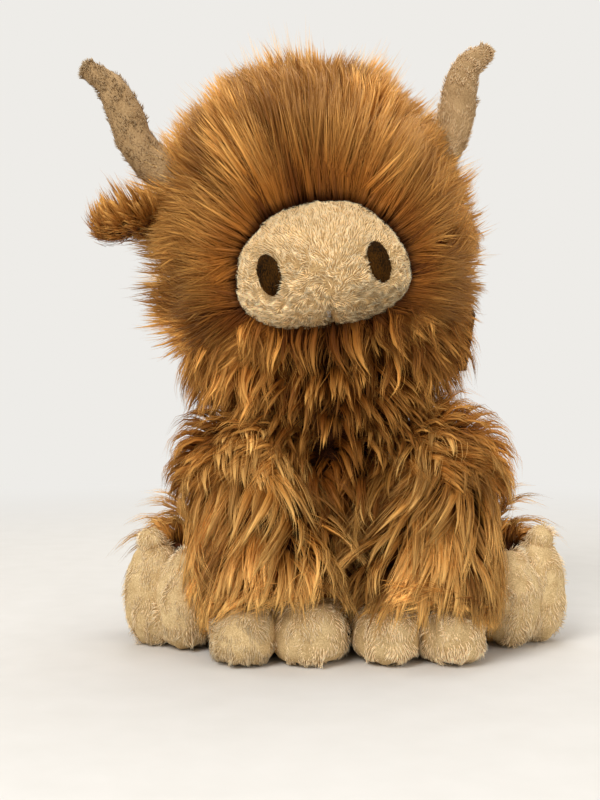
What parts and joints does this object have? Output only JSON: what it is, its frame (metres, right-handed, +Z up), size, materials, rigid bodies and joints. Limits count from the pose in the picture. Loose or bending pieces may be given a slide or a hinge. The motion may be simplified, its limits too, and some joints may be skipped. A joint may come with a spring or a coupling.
{
  "type": "plush cow",
  "caption": "Seated long-haired plush cow with stuffed horns, a rounded muzzle, cloven plush hooves, and a head, legs, ears and tail that flop at their seams.",
  "frame": {"origin": "middle of the flat seat that the cow sits on", "axes": "+Z up, -Y the way the cow faces, +X to the viewer's right when facing the cow"},
  "size_m": [0.2925, 0.257, 0.3642],
  "materials": {
    "rust_fur": "matte",
    "cream_plush": "matte",
    "horn_plush": "matte",
    "nostril_thread": "satin",
    "polyester_stuffing": "matte",
    "pellet_cloth": "matte",
    "tag_card": "satin",
    "label_ribbon": "satin",
    "tag_plastic": "gloss"
  },
  "bodies": {
    "torso": {"torso_skin": "rust_fur", "torso_stuffing": "polyester_stuffing", "pellet_bag": "pellet_cloth", "sewn_label": "label_ribbon"},
    "neck": {"neck_stuffing": "polyester_stuffing"},
    "head": {"head_skin": "rust_fur", "head_stuffing": "polyester_stuffing", "muzzle_skin": "cream_plush", "muzzle_stuffing": "polyester_stuffing", "nostril_left": "nostril_thread", "nostril_right": "nostril_thread", "horn_left_skin": "horn_plush", "horn_left_stuffing": "polyester_stuffing", "horn_right_skin": "horn_plush", "horn_right_stuffing": "polyester_stuffing", "tag_pin": "tag_plastic"},
    "left_ear": {"ear_left": "rust_fur"},
    "right_ear": {"ear_right": "rust_fur"},
    "hanging_tag": {"swing_tag": "tag_card"},
    "left_front_leg": {"front_leg_left_skin": "rust_fur", "front_leg_left_stuffing": "polyester_stuffing", "front_hoof_left": "cream_plush"},
    "right_front_leg": {"front_leg_right_skin": "rust_fur", "front_leg_right_stuffing": "polyester_stuffing", "front_hoof_right": "cream_plush"},
    "left_hind_leg": {"hind_leg_left_skin": "rust_fur", "hind_leg_left_stuffing": "polyester_stuffing", "hind_hoof_left": "cream_plush"},
    "right_hind_leg": {"hind_leg_right_skin": "rust_fur", "hind_leg_right_stuffing": "polyester_stuffing", "hind_hoof_right": "cream_plush"},
    "tail_end": {"tail": "rust_fur", "tail_tuft": "rust_fur"}
  },
  "joints": [
    {"name": "neck_turn", "type": "hinge", "parent": "torso", "child": "neck", "pos_m": [-0.005, 0.004, 0.15], "axis": [0, 0, 1], "range_deg": [-25, 25], "stiffness_Nm_per_rad": 0.25},
    {"name": "head_nod", "type": "hinge", "parent": "neck", "child": "head", "pos_m": [-0.005, 0.004, 0.15], "axis": [1, 0, 0], "range_deg": [-15, 15], "stiffness_Nm_per_rad": 1.2},
    {"name": "left_ear_flap", "type": "hinge", "parent": "head", "child": "left_ear", "pos_m": [-0.1127, 0, 0.25466], "axis": [0, 1, 0], "range_deg": [-20, 15], "stiffness_Nm_per_rad": 0.02},
    {"name": "right_ear_flap", "type": "hinge", "parent": "head", "child": "right_ear", "pos_m": [0.06437, 0.03558, 0.26632], "axis": [0.4963, -0.866, 0.0609], "range_deg": [-10, 20], "stiffness_Nm_per_rad": 0.02},
    {"name": "tag_swing", "type": "hinge", "parent": "head", "child": "hanging_tag", "pos_m": [0.07626, 0.01964, 0.1982], "axis": [0.9092, 0.3613, -0.2068], "range_deg": [-25, 25]},
    {"name": "left_front_leg_swing", "type": "hinge", "parent": "torso", "child": "left_front_leg", "pos_m": [-0.056, -0.022, 0.102], "axis": [-1, 0, 0], "range_deg": [0, 45]},
    {"name": "right_front_leg_swing", "type": "hinge", "parent": "torso", "child": "right_front_leg", "pos_m": [0.056, -0.022, 0.102], "axis": [-1, 0, 0], "range_deg": [0, 45]},
    {"name": "left_hind_leg_splay", "type": "hinge", "parent": "torso", "child": "left_hind_leg", "pos_m": [-0.072, 0.014, 0.036], "axis": [0, 0, -1], "range_deg": [0, 30]},
    {"name": "right_hind_leg_splay", "type": "hinge", "parent": "torso", "child": "right_hind_leg", "pos_m": [0.072, 0.014, 0.036], "axis": [0, 0, 1], "range_deg": [0, 30]},
    {"name": "tail_swing", "type": "hinge", "parent": "torso", "child": "tail_end", "pos_m": [0, 0.07198, 0.044], "axis": [0, 0, 1], "range_deg": [-30, 30]}
  ]
}
